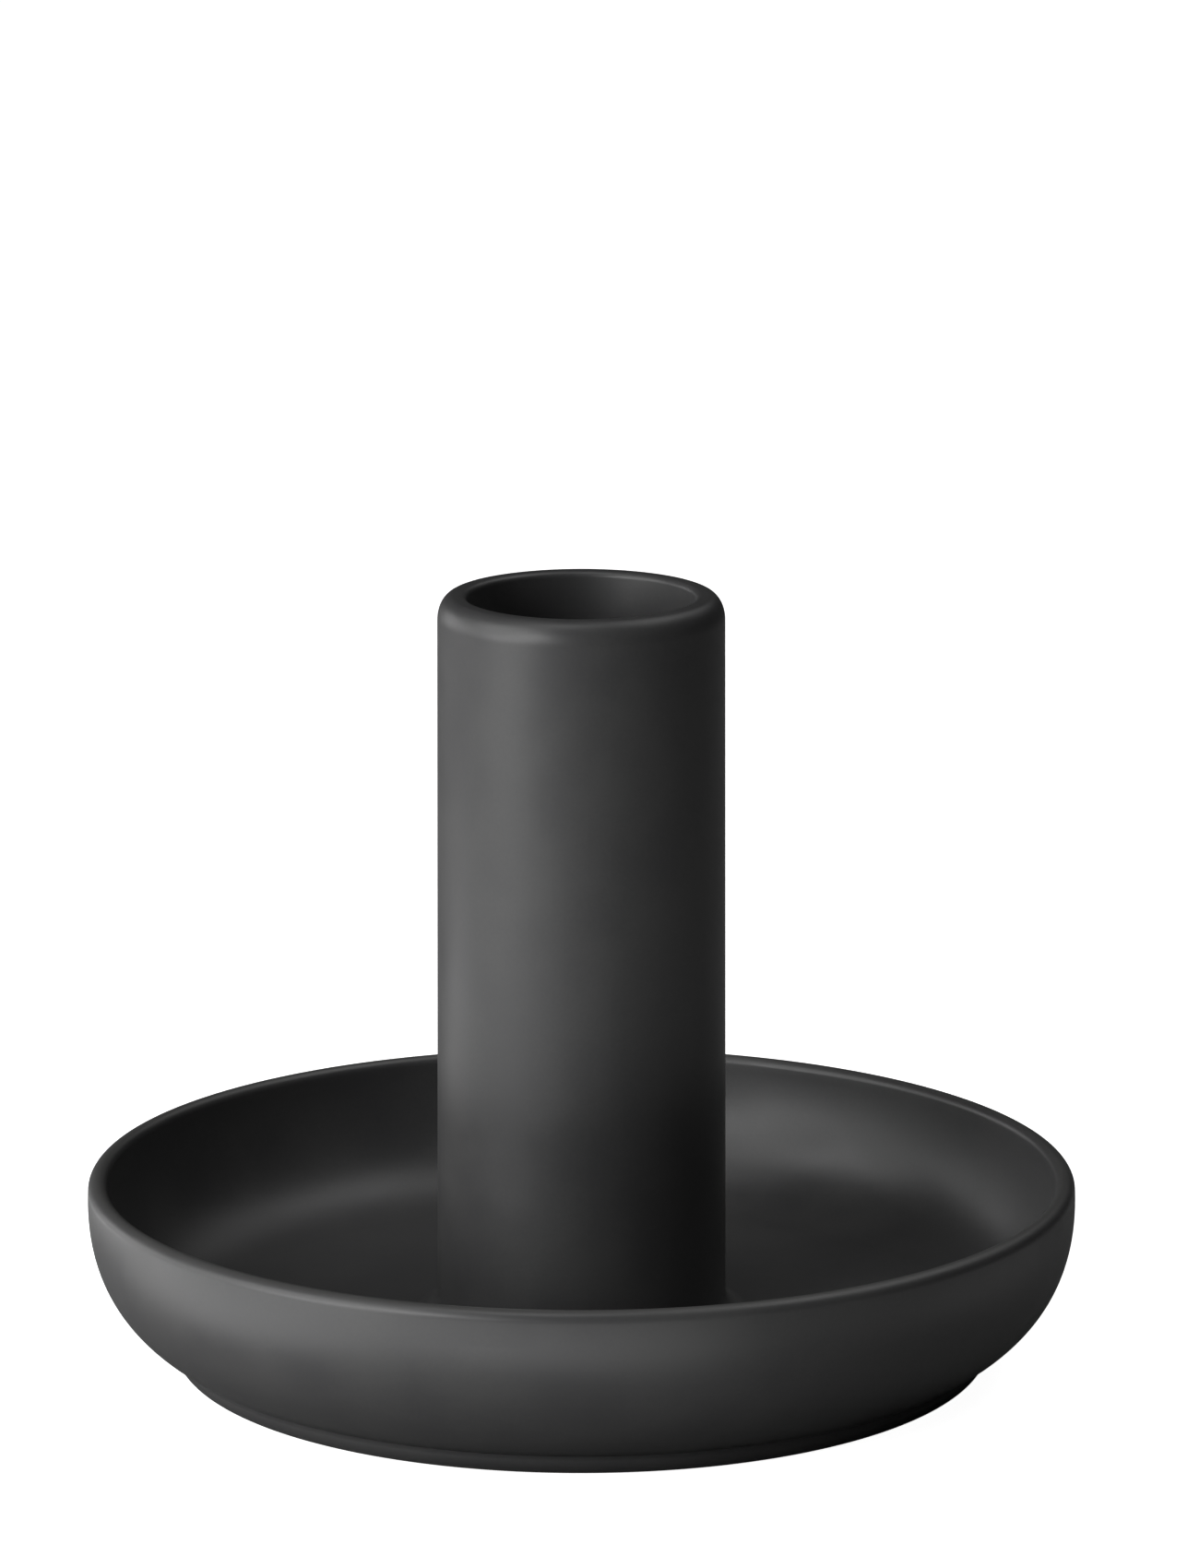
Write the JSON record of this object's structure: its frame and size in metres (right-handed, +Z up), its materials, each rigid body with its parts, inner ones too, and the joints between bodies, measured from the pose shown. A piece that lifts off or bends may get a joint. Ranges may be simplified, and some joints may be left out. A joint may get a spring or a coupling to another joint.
{
  "type": "candle holder",
  "caption": "Ceramic holder for a dinner candle: an upright tube with a blind socket, standing in a shallow drip dish on a low foot ring.",
  "frame": {"origin": "centre of the level that the foot ring stands on", "axes": "+Z up along the axis of the tube and the dish; X and Y are arbitrary, since every piece is turned about Z"},
  "size_m": [0.1, 0.1, 0.0789],
  "materials": {
    "silk_glaze": "smooth silk-matt charcoal glaze",
    "foot_stoneware": "silk-matt charcoal glaze on the side, wiped off the face that it stands on"
  },
  "bodies": {
    "root": {"dish": "silk_glaze", "foot_ring": "foot_stoneware", "candle_tube": "silk_glaze", "socket_floor": "silk_glaze", "tube_joint_fillet": "silk_glaze", "socket_joint_fillet": "silk_glaze", "foot_joint_fillet": "silk_glaze"}
  },
  "joints": []
}
